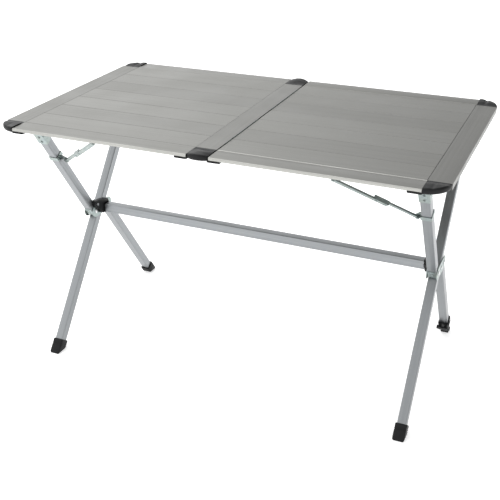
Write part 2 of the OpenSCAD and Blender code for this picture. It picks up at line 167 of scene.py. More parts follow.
class Shader:
    """A new node material with its Principled shader and one object-space coordinate."""

    def __init__(self, name, roughness, metallic):
        self.material = bpy.data.materials.new(name)
        self.material.use_nodes = True
        self.tree = self.material.node_tree
        self.tree.nodes.clear()
        output = self.add("ShaderNodeOutputMaterial")
        self.shader = self.add("ShaderNodeBsdfPrincipled")
        self.shader.inputs["Roughness"].default_value = roughness
        self.shader.inputs["Metallic"].default_value = metallic
        self.link(self.shader.outputs["BSDF"], output.inputs["Surface"])
        self.coordinate = self.add("ShaderNodeTexCoord").outputs["Object"]

    def add(self, kind):
        """A new node of a kind."""
        return self.tree.nodes.new(kind)

    def link(self, source, target):
        """Joins an output socket to an input socket."""
        self.tree.links.new(source, target)

    def mapped(self, tilt, scale):
        """The coordinate turned back by tilt about X, then stretched by scale."""
        turn = self.add("ShaderNodeMapping")
        turn.inputs["Rotation"].default_value = (-tilt, 0, 0)
        self.link(self.coordinate, turn.inputs["Vector"])
        stretch = self.add("ShaderNodeMapping")
        stretch.inputs["Scale"].default_value = scale
        self.link(turn.outputs["Vector"], stretch.inputs["Vector"])
        return stretch.outputs["Vector"]

    def noise(self, vector, scale, detail=2.0, rough=0.5):
        """Noise between 0 and 1, mostly between 0.3 and 0.7."""
        node = self.add("ShaderNodeTexNoise")
        node.inputs["Scale"].default_value = scale
        node.inputs["Detail"].default_value = detail
        node.inputs["Roughness"].default_value = rough
        self.link(vector, node.inputs["Vector"])
        return node.outputs["Fac"]

    def remap(self, value, low, high, from_low=0.3, from_high=0.7):
        """A value turned from its own range, which is a noise's unless given, into low to high."""
        return range_node(self.tree, value, (from_low, from_high), (low, high))

    def math(self, operation, first, second=None):
        """A Math node on numbers or sockets."""
        node = self.add("ShaderNodeMath")
        node.operation = operation
        for slot, value in enumerate((first, second)):
            if isinstance(value, (int, float)):
                node.inputs[slot].default_value = value
            elif value is not None:
                self.link(value, node.inputs[slot])
        return node.outputs["Value"]

    def weighted(self, *pairs):
        """The sum of sockets, each times its weight."""
        total = None
        for socket, weight in pairs:
            part = self.math("MULTIPLY", socket, weight)
            total = part if total is None else self.math("ADD", total, part)
        return total

    def split(self):
        """The coordinate's X, Y and Z outputs."""
        node = self.add("ShaderNodeSeparateXYZ")
        self.link(self.coordinate, node.inputs["Vector"])
        return node.outputs

    def blend(self, factor, first, second):
        """A colour between two colours or colour sockets."""
        node = self.add("ShaderNodeMix")
        node.data_type = "RGBA"
        if isinstance(factor, (int, float)):
            node.inputs["Factor"].default_value = factor
        else:
            self.link(factor, node.inputs["Factor"])
        for slot, value in zip(MIX_INPUTS, (first, second)):
            if isinstance(value, tuple):
                node.inputs[slot].default_value = (*value, 1)
            else:
                self.link(value, node.inputs[slot])
        return node.outputs[MIX_OUTPUT]

    def colour(self, socket):
        """Makes the socket the base colour."""
        self.link(socket, self.shader.inputs["Base Color"])

    def rough(self, socket):
        """Makes the socket the roughness."""
        self.link(socket, self.shader.inputs["Roughness"])

    def bump(self, height, distance, strength=1.0):
        """Relief from a height socket."""
        node = self.add("ShaderNodeBump")
        node.inputs["Distance"].default_value = distance
        node.inputs["Strength"].default_value = strength
        self.link(height, node.inputs["Height"])
        self.link(node.outputs["Normal"], self.shader.inputs["Normal"])


def shade(tone, factor):
    """A tone made darker or lighter."""
    return tuple(min(1.0, channel * factor) for channel in tone)


# ---------- materials ----------

def brushed_aluminium(name, tone, along, tilt=0.0, roughness=0.4, contrast=0.10, highlight_past=0.0, bead=0.0):
    """Anodised extrusion: drawing lines along one axis, cloudy handling marks and fine grain.

    An edge profile also gets a painted highlight on its outer face, past the distance given for it from the
    middle of the table, and may get a painted glint on its inner bead, up to the distance given for it in
    front of the middle.
    """
    s = Shader(name, roughness, 1.0)
    axis = "XYZ".index(along)
    fine = tuple(6.0 if i == axis else 900.0 for i in range(3))
    coarse = tuple(1.6 if i == axis else 130.0 for i in range(3))
    lines = s.noise(s.mapped(tilt, fine), 1.0, 3.0)
    bands = s.noise(s.mapped(tilt, coarse), 1.0, 2.0)
    cloud = s.noise(s.coordinate, 9.0, 4.0)
    mix = s.weighted((lines, 0.45), (bands, 0.35), (cloud, 0.20))
    factor = s.remap(mix, 0.0, 1.0, 0.38, 0.62)
    brushed = s.blend(factor, shade(tone, 1 - contrast), shade(tone, 1 + contrast))
    if highlight_past:
        # Painted highlight: the outer face past the given distance is painted brighter, as if lit.
        y = s.split()["Y"]
        outer = s.remap(s.math("ABSOLUTE", y), 0.0, 1.0, highlight_past - 0.0004, highlight_past + 0.0002)
        brushed = s.blend(outer, brushed, shade(tone, 1.9))
        # Painted glint: the bead on the inner side of the front profile is painted twice as bright, as where
        # it catches the light.
        inner = s.remap(y, 0.0, 1.0, -bead - 0.0002, 0.0002 - bead)
        inner = s.math("MULTIPLY", inner, s.math("LESS_THAN", y, 0.0))
        brushed = s.blend(inner, brushed, shade(tone, 2.0))
    s.colour(brushed)
    s.rough(s.remap(s.math("ADD", lines, cloud), roughness - 0.06, roughness + 0.08, 0.8, 1.2))
    s.bump(lines, 0.00006, 0.6)
    return s.material


def slat_aluminium(name, tone, roughness=0.42):
    """Ribbed slats: fine ribs along X with painted shade in their troughs, a tone of its own for each,
    brushing, and painted shade in the joints around each.
    """
    s = Shader(name, roughness, 1.0)
    split = s.split()
    pitches = s.math("DIVIDE", s.math("SUBTRACT", split["Y"], SLAT_START), SLAT_PITCH)
    own = s.add("ShaderNodeTexWhiteNoise")
    own.noise_dimensions = "1D"
    s.link(s.math("FLOOR", pitches), own.inputs["W"])
    rib_turn = 2 * math.pi * RIBS_PER_SLAT / SLAT_PITCH
    ribs = s.math("SINE", s.math("MULTIPLY", split["Y"], rib_turn))
    lines = s.noise(s.mapped(0.0, (4.0, 1100.0, 1100.0)), 1.0, 3.0)
    bands = s.noise(s.mapped(0.0, (1.2, 160.0, 160.0)), 1.0, 2.0)
    cloud = s.noise(s.coordinate, 7.0, 4.0)
    mix = s.weighted((lines, 0.3), (bands, 0.3), (cloud, 0.25), (own.outputs["Value"], 0.15))
    factor = s.remap(mix, 0.0, 1.0, 0.36, 0.64)
    base = s.blend(factor, shade(tone, 0.90), shade(tone, 1.09))
    # Painted shade: the troughs of the fine ribs are painted a little darker.
    groove = s.remap(ribs, 0.0, 0.12, -0.4, -1.0)
    ribbed = s.blend(groove, base, shade(tone, 0.5))
    # Painted shade: the V-grooves along each slat's sides and the seams at its ends by the rails are painted
    # darker, where shade falls.
    from_middle = s.math("ABSOLUTE", s.math("SUBTRACT", s.math("FRACT", pitches), 0.5))
    side_joint_shade = s.remap(from_middle, 0.0, 1.0, 0.484, 0.488)
    joined = s.blend(side_joint_shade, ribbed, shade(tone, 0.68))
    end_joint_shade = s.remap(s.math("ABSOLUTE", split["X"]), 0.0, 1.0, SLAT_TIP - 0.0018, SLAT_TIP - 0.0012)
    s.colour(s.blend(end_joint_shade, joined, shade(tone, 0.38)))
    s.rough(s.remap(s.math("ADD", lines, cloud), roughness - 0.05, roughness + 0.09, 0.8, 1.2))
    s.bump(s.weighted((ribs, 0.5), (lines, 0.35)), 0.00012, 0.5)
    return s.material


def zinc_steel(name, tone, roughness=0.36):
    """Passivated zinc plating: small spangle, drifting tint and soft stains."""
    s = Shader(name, roughness, 1.0)
    spangle = s.add("ShaderNodeTexVoronoi")
    spangle.inputs["Scale"].default_value = 420.0
    s.link(s.coordinate, spangle.inputs["Vector"])
    drift = s.noise(s.coordinate, 60.0, 4.0)
    stain = s.noise(s.coordinate, 180.0, 3.0)
    warm = (tone[0] * 1.06, tone[1], tone[2] * 0.90)
    tint = s.blend(s.remap(drift, 0.0, 1.0), tone, warm)
    cell = s.remap(spangle.outputs["Distance"], 0.0, 0.35, 0.0, 1.0)
    shaded = s.blend(cell, tint, shade(tone, 0.72))
    s.colour(s.blend(s.remap(stain, 0.0, 0.4, 0.55, 0.75), shaded, shade(tone, 0.6)))
    s.rough(s.remap(stain, roughness - 0.08, roughness + 0.14))
    s.bump(spangle.outputs["Distance"], 0.00008, 0.4)
    return s.material


def moulded_plastic(name, tone, roughness=0.42):
    """Moulded black plastic: fine spark grain, flow clouding and pale scuffs."""
    s = Shader(name, roughness, 0.0)
    grain = s.noise(s.coordinate, 2600.0, 2.0)
    cloud = s.noise(s.coordinate, 40.0, 4.0)
    scuff = s.noise(s.mapped(0.5, (60.0, 700.0, 300.0)), 1.0, 4.0, 0.7)
    base = s.blend(s.remap(cloud, 0.0, 1.0), shade(tone, 0.75), shade(tone, 1.35))
    s.colour(s.blend(s.remap(scuff, 0.0, 0.35, 0.66, 0.82), base, (0.035, 0.035, 0.035)))
    s.rough(s.remap(cloud, roughness - 0.08, roughness + 0.10))
    s.shader.inputs["Specular IOR Level"].default_value = 0.2
    s.bump(grain, 0.00010, 0.5)
    return s.material


def turned_steel(name, tone, roughness=0.22):
    """Bright rivets and pins: fine turning marks and small pits."""
    s = Shader(name, roughness, 1.0)
    marks = s.noise(s.mapped(0.0, (3000.0, 350.0, 350.0)), 1.0, 2.0)
    pits = s.noise(s.coordinate, 900.0, 3.0)
    s.colour(s.blend(s.remap(pits, 0.0, 1.0), shade(tone, 0.78), tone))
    s.rough(s.remap(marks, roughness - 0.06, roughness + 0.14))
    s.bump(marks, 0.00005, 0.5)
    return s.material


def studio_floor():
    """Matt pale floor with a very faint mottle, which gives off a little light, as a lit photo table does."""
    s = Shader("floor_paper", 0.9, 0.0)
    mottle = s.noise(s.coordinate, 14.0, 5.0)
    s.colour(s.blend(s.remap(mottle, 0.0, 1.0), (0.90, 0.90, 0.90), (0.94, 0.94, 0.94)))
    s.shader.inputs["Emission Color"].default_value = (1.0, 1.0, 1.0, 1.0)
    s.shader.inputs["Emission Strength"].default_value = 0.5
    s.bump(mottle, 0.0002, 0.2)
    return s.material


# ---------- mesh helpers ----------

def new_piece(name, mesh_data, material, body):
    """A finished mesh as a piece that rides on a body, with soft shading."""
    piece = bpy.data.objects.new(name, mesh_data)
    bpy.context.scene.collection.objects.link(piece)
    mesh_data.materials.append(material)
    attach(piece, body)
    return piece


def to_mesh(name, bm):
    """The bmesh as a mesh with outward faces."""
    bmesh.ops.recalc_face_normals(bm, faces=bm.faces)
    data = bpy.data.meshes.new(name)
    bm.to_mesh(data)
    bm.free()
    return data


def smooth_by_angle(data, degrees):
    """Smooth faces, with edges sharper than the angle kept crisp."""
    for polygon in data.polygons:
        polygon.use_smooth = True
    data.set_sharp_from_angle(angle=math.radians(degrees))


def shaped_piece(name, bm, sharp, material, body):
    """A piece made from a bmesh, with edges over the sharp angle kept crisp."""
    data = to_mesh(name, bm)
    smooth_by_angle(data, sharp)
    return new_piece(name, data, materials[material], body)


def angle_bevel(obj, width, segments, degrees):
    """A bevel on the edges that are sharper than the angle."""
    bevel = obj.modifiers.new("bevel", "BEVEL")
    bevel.width = width
    bevel.segments = segments
    bevel.limit_method = "ANGLE"
    bevel.angle_limit = math.radians(degrees)


def add_bevel(obj, width):
    """Weld, bevel and weighted normals on top of an unchanged mesh."""
    weld = obj.modifiers.new("weld", "WELD")
    weld.merge_threshold = 0.00001
    angle_bevel(obj, width, 3, BEVEL_CAD)
    obj.modifiers.new("normals", "WEIGHTED_NORMAL").keep_sharp = True


def rounded_square(half, radius, segments):
    """Outline points of a square with rounded corners, anticlockwise."""
    points = []
    for quarter in range(4):
        turn = quarter * math.pi / 2
        corner = Vector((half - radius, half - radius))
        for step in range(segments + 1):
            angle = step * math.pi / 2 / segments
            local = corner + radius * Vector((math.cos(angle), math.sin(angle)))
            points.append(Vector((local.x * math.cos(turn) - local.y * math.sin(turn),
                                  local.x * math.sin(turn) + local.y * math.cos(turn))))
    return points


def loft(bm, rings, closed_ends=False):
    """Faces between rings of the same length, which may start and end with the same ring."""
    count = len(rings[0])
    for ring, following in zip(rings, rings[1:]):
        for i in range(count):
            j = (i + 1) % count
            bm.faces.new((ring[i], ring[j], following[j], following[i]))
    if closed_ends:
        bm.faces.new(list(reversed(rings[0])))
        bm.faces.new(rings[-1])


def square_tube(name, at, along, across, width, low_plane, high_plane):
    """Hollow square tube about the line at + t * along, cut by two planes given as (point, normal)."""
    side = along.cross(across).normalized()
    outer = (width / 2, TUBE_CORNER)
    inner = (width / 2 - TUBE_WALL, max(TUBE_CORNER - TUBE_WALL, TUBE_CORNER_LEAST))
    bm = bmesh.new()
    rings = []
    for (half, corner), plane in (
        (outer, low_plane),
        (outer, high_plane),
        (inner, high_plane),
        (inner, low_plane),
    ):
        ring = []
        for point in rounded_square(half, corner, 6):
            base = at + across * point.x + side * point.y
            travel = (plane[0] - base).dot(plane[1]) / along.dot(plane[1])
            ring.append(bm.verts.new(base + along * travel))
        rings.append(ring)
    loft(bm, rings + [rings[0]])
    data = to_mesh(name, bm)
    smooth_by_angle(data, SHARP_OTHER)
    return data


def cut_pin_hole(data, centre):
    """Cuts the hub pin's hole, along X, through a mesh and returns the new mesh."""
    bm = bmesh.new()
    turn = Matrix.Translation(centre) @ Matrix.Rotation(math.pi / 2, 4, "Y")
    bmesh.ops.create_cone(bm, cap_ends=True, segments=32, radius1=PIN_HOLE_R, radius2=PIN_HOLE_R,
                          depth=CUTTER_L, matrix=turn)
    cutter_data = to_mesh("cutter", bm)
    cutter = bpy.data.objects.new("cutter", cutter_data)
    target = bpy.data.objects.new("target", data)
    for obj in (cutter, target):
        bpy.context.scene.collection.objects.link(obj)
    boolean = target.modifiers.new("holes", "BOOLEAN")
    boolean.operation = "DIFFERENCE"
    boolean.solver = "EXACT"
    boolean.object = cutter
    bpy.context.view_layer.update()
    evaluated = target.evaluated_get(bpy.context.evaluated_depsgraph_get())
    result = bpy.data.meshes.new_from_object(evaluated)
    bpy.data.objects.remove(target)
    bpy.data.objects.remove(cutter)
    smooth_by_angle(result, SHARP_OTHER)
    return result


def leg_line(node):
    """A point on a leg's centre line at its upper end, and the leg's direction upwards, from its mesh."""
    vertices = nodes[node].data.vertices
    outer = max(abs(v.co.x) for v in vertices)
    side = [Vector((v.co.y, v.co.z)) for v in vertices if outer - abs(v.co.x) < 0.0001]
    hull = [side[i] for i in convex_hull_2d(side)]
    edges = [(hull[i] - hull[i - 1]) for i in range(len(hull))]
    longest = max(edges, key=lambda edge: edge.length).normalized()
    if longest.y < 0:
        longest.negate()
    across = Vector((-longest.y, longest.x))
    offsets = [point.dot(across) for point in hull]
    reach = max(point.dot(longest) for point in hull)
    top = across * (min(offsets) + max(offsets)) / 2 + longest * reach
    low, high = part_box(node)
    return Vector(((low.x + high.x) / 2, top.x, top.y)), Vector((0, longest.x, longest.y))


# ---------- camera, floor and light ----------

CAMERA_PLACE = (0.859738, -2.026227, 1.401300)
CAMERA_LENS_MM = 61.99
CAMERA_SENSOR_MM = 36.0
CAMERA_YAW = 23.470
CAMERA_DOWN = 26.693
CAMERA_ROLL = -0.400


def make_camera():
    """The camera, fitted to the photo and then turned a little. Its angles are in degrees."""
    data = bpy.data.cameras.new("camera")
    data.lens = CAMERA_LENS_MM
    data.sensor_width = CAMERA_SENSOR_MM
    camera = bpy.data.objects.new("camera", data)
    bpy.context.scene.collection.objects.link(camera)
    place = Matrix.Translation(CAMERA_PLACE)
    yaw = Matrix.Rotation(math.radians(CAMERA_YAW), 4, "Z")
    pitch = Matrix.Rotation(math.radians(90 - CAMERA_DOWN), 4, "X")
    roll = Matrix.Rotation(math.radians(CAMERA_ROLL), 4, "Z")
    camera.matrix_world = place @ yaw @ pitch @ roll
    bpy.context.scene.camera = camera


def make_floor():
    """A wide floor just below the feet."""
    bm = bmesh.new()
    bmesh.ops.create_grid(bm, x_segments=4, y_segments=4, size=30.0)
    data = to_mesh("floor", bm)
    floor = bpy.data.objects.new("floor", data)
    bpy.context.scene.collection.objects.link(floor)
    floor.location.z = cad_low.z - 0.0005
    data.materials.append(studio_floor())


def area_light(name, place, target, size, power):
    """A rectangular lamp that faces a target."""
    data = bpy.data.lights.new(name, "AREA")
    data.shape = "RECTANGLE"
    data.size, data.size_y = size
    data.energy = power
    light = bpy.data.objects.new(name, data)
    bpy.context.scene.collection.objects.link(light)
    light.location = place
    light.rotation_mode = "QUATERNION"
    light.rotation_quaternion = (Vector(target) - Vector(place)).to_track_quat("-Z", "Y")


def brighter(tree, first, second):
    """The brighter of two parts of the sky."""
    node = tree.nodes.new("ShaderNodeMath")
    node.operation = "MAXIMUM"
    tree.links.new(first, node.inputs[0])
    tree.links.new(second, node.inputs[1])
    return node.outputs["Value"]


def make_light():
    """A soft sky, bright on the left, in front and at the horizon, and one large lamp overhead."""
    world = bpy.data.worlds.new("studio")
    world.use_nodes = True
    tree = world.node_tree
    tree.nodes.clear()
    output = tree.nodes.new("ShaderNodeOutputWorld")
    background = tree.nodes.new("ShaderNodeBackground")
    coordinate = tree.nodes.new("ShaderNodeTexCoord")
    split = tree.nodes.new("ShaderNodeSeparateXYZ")
    tree.links.new(coordinate.outputs["Generated"], split.inputs["Vector"])
    left = range_node(tree, split.outputs["X"], (-0.5, 0.05), (1.0, 0.3))
    front = range_node(tree, split.outputs["Y"], (-0.5, 0.0), (0.7, 0.0))
    horizon = range_node(tree, split.outputs["Z"], (0.10, 0.25), (1.0, 0.0))
    sky = brighter(tree, brighter(tree, left, front), horizon)
    tree.links.new(sky, background.inputs["Color"])
    background.inputs["Strength"].default_value = 1.5
    tree.links.new(background.outputs["Background"], output.inputs["Surface"])
    bpy.context.scene.world = world
    area_light("key", (-1.6, 0.6, 4.8), (0, 0, 0.4), (4.0, 4.0), 110.0)
    bpy.context.scene.view_settings.view_transform = "Standard"


# ---------- material library ----------

TOP_TONE = (0.236, 0.236, 0.224)
LEG_TONE = (0.275, 0.287, 0.297)
ZINC_TONE = (0.34, 0.40, 0.405)
PLASTIC_TONE = (0.007, 0.0075, 0.008)
STEEL_TONE = (0.75, 0.76, 0.77)
EDGE_TONE = shade(TOP_TONE, 0.92)
RAIL_TONE = shade(TOP_TONE, 0.86)
HINGE_TONE = shade(ZINC_TONE, 0.4)
LEG_ROUGHNESS = 0.36


def leg_aluminium(name, leg):
    """Brushed along the leg, which stands at its own tilt about X."""
    direction = leg_line(leg)[1]
    tilt = math.atan2(-direction.y, direction.z)
    return brushed_aluminium(name, LEG_TONE, "Z", tilt, LEG_ROUGHNESS)


materials = {
    "slats": slat_aluminium("slat_aluminium", TOP_TONE),
    "edges_left": brushed_aluminium("edge_left_aluminium", EDGE_TONE, "X", highlight_past=EDGE_HIGHLIGHT_PAST),
    "edges_right": brushed_aluminium("edge_right_aluminium", EDGE_TONE, "X", highlight_past=EDGE_HIGHLIGHT_PAST, bead=EDGE_BEAD_GLINT),
    "rails": brushed_aluminium("rail_aluminium", RAIL_TONE, "Y"),
    "bar": brushed_aluminium("bar_aluminium", LEG_TONE, "X", 0.0, LEG_ROUGHNESS),
    "through": leg_aluminium("through_leg_aluminium", "through_leg_right"),
    "upper": leg_aluminium("upper_leg_aluminium", "front_upper_leg_right"),
    "lower": leg_aluminium("lower_leg_aluminium", "rear_lower_leg_right"),
    "zinc": zinc_steel("zinc_steel", ZINC_TONE),
    "hinge": zinc_steel("hinge_steel", HINGE_TONE),
    "plastic": moulded_plastic("moulded_plastic", PLASTIC_TONE),
    "steel": turned_steel("turned_steel", STEEL_TONE),
}


# ---------- CAD nodes that keep their shape ----------

def finish_node(node, material, bevel):
    """A material and soft edges for a CAD node that stays as it is."""
    obj = nodes[node]
    obj.data.materials.clear()
    obj.data.materials.append(materials[material])
    if bevel:
        add_bevel(obj, bevel)


def finish_nodes():
    """Every CAD node that isn't replaced."""
    for side in SIDES:
        for number in SLATS:
            finish_node(f"slat_{side}_{number}", "slats", 0)
        for node in ("leg_socket", "leg_head", "stay_anchor", "stay_upper", "stay_lower", "leg_clip"):
            finish_node(f"{node}_{side}", "zinc", ZINC_BEVEL)
    for rail in ("left", "center", "right"):
        finish_node(f"rail_{rail}", "rails", RAIL_BEVEL)
    for node in ("leg_heads_through", "hub_plates"):
        finish_node(node, "zinc", ZINC_BEVEL)
    for node in ("fold_hinge_pin", "fold_hinge_leaf"):
        finish_node(node, "hinge", PIN_BEVEL)
    finish_node("hub_pins", "steel", PIN_BEVEL)
    for node in ("crossbar_plugs", "level_collar", "level_bolt", "level_lever", "level_foot",
                 "hub_block_left", "hub_block_right"):
        finish_node(node, "plastic", PLASTIC_BEVEL)


# ---------- tubes ----------

def leg_tube(node, body, material, low_drop, pin):
    """A rounded hollow tube in place of a leg node, cut level at the top unless its upper end is at the hub.

    low_drop is the tube's length from its upper end down the centre line, and pin is where the hub pin goes.
    """
    at, along = leg_line(node)
    low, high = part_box(node)
    level = (Vector((0, 0, high.z)), Vector((0, 0, 1)))
    upper_end = (at, along) if node.startswith("rear_lower") else level
    lower_end = (at - along * low_drop, along)
    data = square_tube(node + "_tube", at, along, X_AXIS, high.x - low.x, lower_end, upper_end)
    data = cut_pin_hole(data, pin)
    piece = new_piece(node + "_tube", data, materials[material], body)
    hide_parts(node)


def joint_place(name):
    """Where a joint's axis stands."""
    return next(Vector(joint["pos_m"]) for joint in frame["joints"] if joint["name"] == name)


def make_leg_tubes():
    """The three tubes of each leg frame."""
    for side in SIDES:
        front = joint_place(f"front_leg_fold_{side}")
        rear = joint_place(f"rear_leg_fold_{side}")
        node = f"through_leg_{side}"
        at, along = leg_line(node)
        leg_tube(node, "frame", "through", (at.z - FOOT_GAP) / along.z, (front + rear) / 2)
        node = f"front_upper_leg_{side}"
        at, along = leg_line(node)
        leg_tube(node, f"front_leg_{side}", "upper", (at.z - front.z) / along.z + LEG_BUTT, front)
        node = f"rear_lower_leg_{side}"
        at, along = leg_line(node)
        drop = (at.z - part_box(node)[0].z) / along.z - FOOT_GAP
        leg_tube(node, f"rear_leg_{side}", "lower", drop, rear)


def make_crossbar():
    """The crossbar as a rounded hollow tube along X."""
    low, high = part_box("crossbar")
    middle = (low + high) / 2
    y_axis = Vector((0, 1, 0))
    ends = (low, X_AXIS), (high, X_AXIS)
    data = square_tube("crossbar_tube", middle, X_AXIS, y_axis, high.y - low.y, *ends)
    piece = new_piece("crossbar_tube", data, materials["bar"], "frame")
    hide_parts("crossbar")


# ---------- caps ----------

def ease(value):
    """Smooth step from 0 to 1."""
    t = min(1.0, max(0.0, value))
    return t * t * (3 - 2 * t)


def rim_drop(distance, radius):
    """How far a rounded rim lies below its crown at a distance inside the outline."""
    inside = radius - min(distance, radius)
    return radius - math.sqrt(max(0.0, radius * radius - inside * inside))


def tongue(bm, low, high):
    """A flat plate whose two outer corners, at high Y, are round in plan."""
    outline = [Vector((low.x, low.y)), Vector((high.x, low.y))]
    for centre_x, start in ((high.x - TAB_ROUND, 0), (low.x + TAB_ROUND, 1)):
        for step in range(7):
            angle = math.pi / 2 * (start + step / 6)
            x = centre_x + TAB_ROUND * math.cos(angle)
            outline.append(Vector((x, high.y - TAB_ROUND + TAB_ROUND * math.sin(angle))))
    lower = [bm.verts.new((p.x, p.y, low.z)) for p in outline]
    upper = [bm.verts.new((p.x, p.y, high.z)) for p in outline]
    loft(bm, [lower, upper], closed_ends=True)


def cap_faces(bm, tops, bottoms):
    """The skin between two grids of points, and the walls around them."""
    for i in range(CAP_COLUMNS):
        for j in range(CAP_ROWS):
            bm.faces.new((tops[i][j], tops[i + 1][j], tops[i + 1][j + 1], tops[i][j + 1]))
            bm.faces.new((bottoms[i][j], bottoms[i][j + 1], bottoms[i + 1][j + 1], bottoms[i + 1][j]))
    for i in range(CAP_COLUMNS):
        for j in (0, CAP_ROWS):
            bm.faces.new((tops[i][j], bottoms[i][j], bottoms[i + 1][j], tops[i + 1][j]))
    for j in range(CAP_ROWS):
        for i in (0, CAP_COLUMNS):
            bm.faces.new((tops[i][j], tops[i][j + 1], bottoms[i][j + 1], bottoms[i][j]))
    bmesh.ops.remove_doubles(bm, verts=bm.verts, dist=0.000005)


def cap_mesh(name, x0, x1, low, edge_at, inside, crown, tabs, flip_x, flip_y):
    """A moulded cap for the back right, mirrored as asked: a crowned top, a rounded rim and tongues.

    edge_at gives the outline's Y at an X, inside a point's distance inside the outline, and crown its rise.
    """
    bottom = low.z + CAP_LIFT
    bm = bmesh.new()
    tops = []
    bottoms = []
    for i in range(CAP_COLUMNS + 1):
        x = x0 + (x1 - x0) * (1 - math.cos(math.pi * i / CAP_COLUMNS)) / 2
        top_column = []
        bottom_column = []
        for j in range(CAP_ROWS + 1):
            y = low.y + (edge_at(x) - low.y) * math.sin(math.pi / 2 * j / CAP_ROWS)
            z = TOP_Z + crown(x, y) - rim_drop(inside(x, y), CAP_RIM)
            top_column.append(bm.verts.new((x, y, z)))
            bottom_column.append(bm.verts.new((x, y, bottom + rim_drop(inside(x, y), CAP_KEEL))))
        tops.append(top_column)
        bottoms.append(bottom_column)
    cap_faces(bm, tops, bottoms)
    for tab_low, tab_high in tabs:
        tongue(bm, tab_low, tab_high)
    scale = Matrix.Diagonal((-1 if flip_x else 1, -1 if flip_y else 1, 1, 1))
    bmesh.ops.transform(bm, matrix=scale, verts=bm.verts)
    return to_mesh(name, bm)


def finish_cap(node, data, body):
    """A cap piece that stands for its node, with crisp moulded edges."""
    smooth_by_angle(data, SHARP_MOULDED)
    piece = new_piece(node + "_moulding", data, materials["plastic"], body)
    angle_bevel(piece, CAP_BEVEL, 2, BEVEL_MOULDED)
    piece.modifiers.new("normals", "WEIGHTED_NORMAL").keep_sharp = True
    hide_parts(node)


def tab_box(node_high, x_low, x_high):
    """Lowest and highest corner of a tongue under the edge profile, which it passes by a millimetre."""
    top = TOP_Z - EDGE_NOSE - TAB_GAP
    low = Vector((x_low, node_high.y - TAB_REACH, top - TAB_THICK))
    return low, Vector((x_high, EDGE_FACE + 0.001, top))


def make_center_cap(end):
    """Centre cap: a flat sill, a soft crease and an arched crown that ends in a bowed nose."""
    low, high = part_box("cap_back_center")
    x0 = low.x + TAB_L
    x1 = high.x - TAB_L
    middle = (x0 + x1) / 2
    half = (x1 - x0) / 2
    bow_y = high.y - CENTER_CAP_BOW
    hump = high.z - TOP_Z

    def edge_at(x):
        return bow_y + math.sqrt(CENTER_CAP_BOW ** 2 - (x - middle) ** 2)

    def inside(x, y):
        return CENTER_CAP_BOW - math.hypot(x - middle, y - bow_y)

    def crown(x, y):
        arch = 1 - ((x - middle) / half) ** 2
        rise = ease((y - low.y - 0.012) / 0.024)
        crease = math.exp(-((y - low.y - 0.0125) / CREASE_WIDTH) ** 2)
        return hump * arch * rise - 0.0006 * crease

    tabs = [tab_box(high, low.x, x0 + 0.001), tab_box(high, x1 - 0.001, high.x)]
    name = f"cap_{end}_center"
    data = cap_mesh(name, x0, x1, low, edge_at, inside, crown, tabs, False, end == "front")
    finish_cap(name, data, "top_left_half")


def make_corner_cap(end, side):
    """Corner cap: a quarter round with a low crown that dips where its moulded thumb hollow is."""
    low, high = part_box("cap_back_right")
    x0 = low.x + TAB_L
    x1 = high.x
    radius = CORNER_CAP_ROUND
    centre_x = x1 - radius
    centre_y = high.y - radius
    hump = high.z - TOP_Z
    dip = 0.75 if end == "back" else 0.3

    def edge_at(x):
        return centre_y + math.sqrt(max(0.0, radius * radius - (x - centre_x) ** 2))

    def inside(x, y):
        return radius - math.hypot(max(0.0, x - centre_x), max(0.0, y - centre_y))

    def crown(x, y):
        rise = ease((y - low.y - 0.004) / 0.022)
        hollow = math.exp(-(((x - x0) / (x1 - x0) - 0.36) / 0.09) ** 2)
        crease = math.exp(-((y - low.y - 0.005) / CREASE_WIDTH) ** 2)
        return hump * rise * (1 - dip * hollow) - 0.0004 * crease

    name = f"cap_{end}_{side}"
    tabs = [tab_box(high, low.x, x0 + 0.001)]
    data = cap_mesh(name, x0, x1, low, edge_at, inside, crown, tabs, side == "left", end == "front")
    finish_cap(name, data, f"top_{side}_half")


# ---------- edge profiles ----------

def edge_outline(bead):
    """Cross-section of an edge profile, as points from its inner side (0) outwards and down from the top."""
    width = EDGE_FACE - EDGE_INNER
    depth = TOP_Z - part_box("edge_back_right")[0].z
    points = [(0.0, -depth), (0.0, -0.0007)]
    if bead:
        points += [(0.0003, 0.0001), (0.0009, 0.0006), (0.0018, 0.0006)]
        points += [(0.0024, 0.0001), (0.0028, -0.0002)]
    points.append((0.0034 if bead else 0.0006, 0.0))
    for step in range(7):
        angle = math.pi / 2 * step / 6
        points.append((width - EDGE_ROUND * (1 - math.sin(angle)), -EDGE_ROUND * (1 - math.cos(angle))))
    for step in range(4):
        angle = math.pi / 2 * step / 3
        y = width - NOSE_ROUND * (1 - math.cos(angle))
        points.append((y, -EDGE_NOSE + NOSE_ROUND * (1 - math.sin(angle))))
    points += [(width - 0.031, -EDGE_NOSE), (width - 0.032, -depth)]
    return points


def make_edges():
    """The four edge profiles, the right-hand ones with a bead along their inner side."""
    for side in SIDES:
        for end in ENDS:
            node = f"edge_{end}_{side}"
            low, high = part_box(node)
            out = 1 if end == "back" else -1
            inner = low.y if end == "back" else high.y
            outline = edge_outline(side == "right")
            bm = bmesh.new()
            rings = []
            for x in (low.x, high.x):
                rings.append([bm.verts.new((x, inner + out * y, TOP_Z + z)) for y, z in outline])
            loft(bm, rings, closed_ends=True)
            piece = shaped_piece(node + "_profile", bm, SHARP_EDGE_PROFILE, f"edges_{side}",
                                 f"top_{side}_half")
            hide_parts(node)


# ---------- boots ----------

def boot_ring(bm, at, along, half, corner, travel=None, height=None):
    """One ring of a boot, square to the leg at a travel up it, or level at a height above the floor."""
    side = along.cross(X_AXIS).normalized()
    ring = []
    for point in rounded_square(half, corner, 5):
        base = at + X_AXIS * point.x + side * point.y
        step = travel if height is None else (height - base.z) / along.z
        ring.append(bm.verts.new(base + along * step))
    return ring


